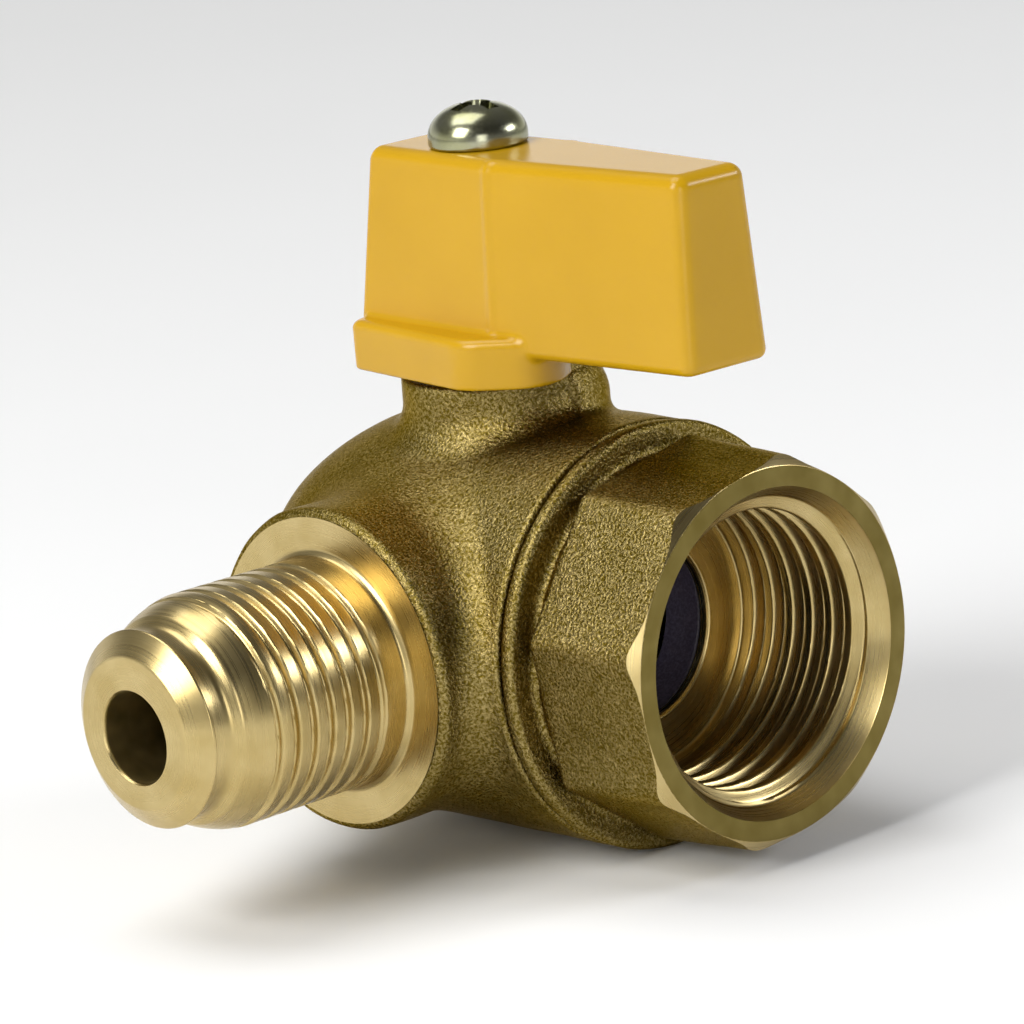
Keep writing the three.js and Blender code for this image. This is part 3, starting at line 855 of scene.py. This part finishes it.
def turned_brass(name, axis, light=TURNED, dark=TURNED_DARK, rough=0.27):
    """Turned brass: fine rings round the axis it was turned about."""
    look = Look(name, Metallic=1.0)
    rings = look.noise(5200, 3, 0.7, look.around(axis))
    broad = look.noise(420, 2, 0.5)
    look.use("Base Color", look.mixed(look.spread(broad, 0.3, 0.7, 0, 1), light, dark))
    look.use("Roughness", look.spread(rings, 0.3, 0.7, rough - 0.04, rough + 0.07))
    look.use("Normal", look.bump(rings, 0.000012, 0.5))
    return look.material


def yellow_plastic():
    """Satin moulded plastic with a faint cloud in its colour."""
    look = Look("yellow_plastic", Specular_IOR_Level=0.36)
    fine = look.noise(9000, 2, 0.5)
    cloud = look.spread(look.noise(140, 3, 0.5), 0.3, 0.7, 0, 1)
    look.use("Base Color", look.mixed(cloud, PLASTIC, PLASTIC_DEEP))
    look.use("Roughness", look.spread(fine, 0.3, 0.7, 0.2, 0.27))
    look.use("Normal", look.bump(fine, 0.00001, 0.35))
    return look.material


def plated(name, colour, tint, low, high):
    """A bright plated surface with faint brushing and a tint that comes and goes."""
    look = Look(name, Metallic=1.0)
    cloud = look.noise(500, 2, 0.5)
    fine = look.noise(6000, 2, 0.6)
    look.use("Base Color", look.mixed(look.spread(cloud, 0.35, 0.65, 0, 1), colour, tint))
    look.use("Roughness", look.spread(fine, 0.3, 0.7, low, high))
    look.use("Normal", look.bump(fine, 0.000006, 0.3))
    return look.material


def near_black_seat():
    """Near-black seat colour with paler flecks; its darkness is partly painted shade for the dim inside of
    the orifice.
    """
    look = Look("near_black_seat", Specular_IOR_Level=0.4)
    fleck = look.noise(5000, 3, 0.6)
    look.use("Base Color", look.mixed(look.spread(fleck, 0.4, 0.65, 0, 1), SEAT_NEAR_BLACK, SEAT_NEAR_BLACK_LIGHT))
    look.use("Roughness", look.spread(fleck, 0.3, 0.7, 0.35, 0.5))
    return look.material


def nitrile():
    """Dull black seal rubber."""
    look = Look("nitrile", Specular_IOR_Level=0.3)
    fine = look.noise(4000, 2, 0.5)
    look.use("Base Color", look.mixed(fine, RUBBER, RUBBER_LIGHT))
    look.use("Roughness", look.spread(fine, 0.3, 0.7, 0.5, 0.7))
    return look.material


def dressed(piece, *materials, which=None):
    """Gives a piece its materials. which says, for each face's centre in millimetres, the one it takes."""
    piece.data.materials.clear()
    for material in materials:
        piece.data.materials.append(material)
    if which:
        count = len(piece.data.polygons)
        centres = np.zeros(count * 3, np.float32)
        piece.data.polygons.foreach_get("center", centres)
        centres = (centres.reshape(-1, 3) - np.array(BALL_CENTRE)) / MM
        piece.data.polygons.foreach_set("material_index", which(*centres.T).astype(np.int32))
    else:
        piece.data.polygons.foreach_set("material_index", [0] * len(piece.data.polygons))
    return piece


def body_turned(x, y, z):
    """0 as forged, 1 for the turned male end and inner bores, 2 for the drilled outlet, whose darker brass
    is painted shade.
    """
    male = (y < SHOULDER_Y + 0.02) & (np.hypot(x, z) < SHOULDER_R + 0.02)
    inner = (np.hypot(y, z) < SPIGOT_BORE_R + 0.05) & (x > CHAMBER_END_X - 0.1) & (np.hypot(x, y) > 5)
    chamber = np.hypot(x, np.hypot(y, z)) < CHAMBER_R + 1.6
    bore = (np.hypot(x, y) < STEM_R + 0.2) & (z > 9)
    outlet = (y > NOSE_Y + 0.1) & (y < 0) & (np.hypot(x, z) < OUTLET_R + 0.3)
    return np.where(outlet, 2, male | inner | chamber | bore)


def connector_turned(x, y, z):
    """0 for the forged octagon, 1 for the turned socket, chamfer and spigot, 2 for the mouth's face, which
    takes brass darkened as painted shade.
    """
    radius = np.hypot(y, z)
    chamfer_r = MOUTH_FACE_R + (MOUTH_X - x) / CHAMFER_DEPTH * (CHAMFER_R - MOUTH_FACE_R)
    chamfer = (x > MOUTH_X - CHAMFER_DEPTH - 0.02) & (np.abs(radius - chamfer_r) < 0.02)
    face = (x > MOUTH_X - 0.005) & (radius > COUNTERSINK_R - 0.1)
    return np.where(face, 2, chamfer | (radius < SPIGOT_BORE_R))


# ---------------------------------------------------------------- the pieces on their bodies
def finished(piece, body, node):
    """Puts a piece on its body, in the place of its CAD node."""
    shaded(piece)
    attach(piece, body)
    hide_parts(node)


forging = forged_brass()
along_x = turned_brass("turned_brass_x", "x")
along_y = turned_brass("turned_brass_y", "y")
along_z = turned_brass("turned_brass_z", "z")
# painted shade and reflection: the mouth's face is coloured dark in place of the dark it reflects
face_shade = turned_brass("face_shade_brass", "x", PAINTED_SHADE_BRASS, PAINTED_SHADE_BRASS_DARK, 0.34)
# painted shade: the outlet bore takes darker brass colours for the shade inside it
drilled = turned_brass("drilled_brass_painted_shade", "y", TURNED_DARK, PAINTED_SHADE_BRASS, 0.42)
plastic = yellow_plastic()
zinc = plated("zinc_plating", ZINC, ZINC_YELLOW, 0.16, 0.26)
chrome = plated("chrome_plating", CHROME, CHROME_DARK, 0.04, 0.08)
seat_look = near_black_seat()
rubber = nitrile()

finished(dressed(valve_body(), forging, along_y, drilled, which=body_turned),
         "body", "valve_body")
finished(dressed(end_connector(), forging, along_x, face_shade, which=connector_turned),
         "body", "end_connector")
finished(dressed(seat("seat_front", 1), seat_look), "body", "seat_front")
finished(dressed(seat("seat_rear", -1), seat_look), "body", "seat_rear")
finished(dressed(washer(), seat_look), "body", "thrust_washer")
finished(dressed(o_ring("connector_seal", "x"), rubber), "body", "connector_seal")
finished(dressed(handle(), plastic), "handle", "handle")
finished(dressed(handle_screw(), zinc), "handle", "handle_screw")
finished(dressed(stem(), along_z), "handle", "stem")
finished(dressed(o_ring("stem_oring_lower", "z"), rubber), "handle", "stem_oring_lower")
finished(dressed(o_ring("stem_oring_upper", "z"), rubber), "handle", "stem_oring_upper")
finished(dressed(ball(), chrome), "ball", "ball")


# ---------------------------------------------------------------- floor, light and camera
def floor():
    """A plain pale floor under the valve."""
    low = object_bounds()[0]
    mesh = bpy.data.meshes.new("floor")
    size = 6.0
    corners = [(-size, -size, low.z), (size, -size, low.z), (size, size, low.z), (-size, size, low.z)]
    mesh.from_pydata(corners, [], [(0, 1, 2, 3)])
    piece = bpy.data.objects.new("floor", mesh)
    bpy.context.scene.collection.objects.link(piece)
    look = Look("floor", Roughness=0.9, Specular_IOR_Level=0.2)
    look.use("Base Color", look.mixed(look.noise(30), (0.95, 0.95, 0.94, 1), (0.97, 0.97, 0.96, 1)))
    mesh.materials.append(look.material)
    piece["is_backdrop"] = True


def area_light(name, towards, distance, size, power, tint=(1, 1, 1)):
    """A softbox in a direction from the valve, facing it."""
    lamp = bpy.data.lights.new(name, "AREA")
    lamp.shape = "RECTANGLE"
    lamp.size, lamp.size_y = size
    lamp.energy = power
    lamp.color = tint
    stand = bpy.data.objects.new(name, lamp)
    bpy.context.scene.collection.objects.link(stand)
    target = BALL_CENTRE + Vector((0, 0, 0.005))
    direction = Vector(towards).normalized()
    stand.location = target + direction * distance
    stand.rotation_mode = "QUATERNION"
    stand.rotation_quaternion = direction.to_track_quat("Z", "Y")
    stand.visible_camera = False


def world():
    """Plain studio surroundings: white low down, dimmer overhead and on the valve's right."""
    surroundings = bpy.data.worlds.new("studio")
    bpy.context.scene.world = surroundings
    surroundings.use_nodes = True
    nodes, links = surroundings.node_tree.nodes, surroundings.node_tree.links
    direction = nodes.new("ShaderNodeSeparateXYZ")
    links.new(nodes.new("ShaderNodeTexCoord").outputs["Generated"], direction.inputs[0])
    level = nodes.new("ShaderNodeMath")
    level.operation = "MULTIPLY"
    fades = (("Z", 0.1, 0.4, 1.0, 0.2), ("X", -0.3, 0.7, 1.0, 0.25))
    for index, (axis, start, end, first, second) in enumerate(fades):
        fade = nodes.new("ShaderNodeMapRange")
        links.new(direction.outputs[axis], fade.inputs["Value"])
        for name, value in (("From Min", start), ("From Max", end), ("To Min", first), ("To Max", second)):
            fade.inputs[name].default_value = value
        links.new(fade.outputs["Result"], level.inputs[index])
    links.new(level.outputs[0], nodes["Background"].inputs["Color"])


def camera():
    """The viewing angle of the reference: in front of the corner between the two ends, a little above."""
    lens = bpy.data.cameras.new("camera")
    lens.lens = 210.94
    lens.sensor_width = 36
    lens.clip_start, lens.clip_end = 0.01, 50
    stand = bpy.data.objects.new("camera", lens)
    bpy.context.scene.collection.objects.link(stand)
    right = Vector((0.68912, 0.71947, -0.08644))
    up = Vector((-0.1083, 0.22021, 0.96942))
    back = Vector((0.71651, -0.65869, 0.22967))
    turn = Matrix((right, up, back)).transposed().to_4x4()
    place = BALL_CENTRE + Vector((290.58, -267.09, 99.97)) * MM
    stand.matrix_world = Matrix.Translation(place) @ turn
    bpy.context.scene.camera = stand


floor()
world()
area_light("key", (0.0, -0.8, 0.6), 0.6, (0.28, 0.35), 2.75)
area_light("window", (0.62, 0.66, 0.42), 0.6, (0.24, 0.13), 1.0, (0.95, 0.97, 1.05))
area_light("overhead", (-0.3, -0.1, 1.0), 1.2, (0.8, 0.8), 6.2)
area_light("front", (0.8, -0.55, 0.2), 0.6, (0.2, 0.3), 0.5)
area_light("backdrop", (-0.70, 0.66, 0.23), 0.6, (0.3, 0.2), 0.06)
camera()
bpy.context.scene.view_settings.view_transform = "Standard"
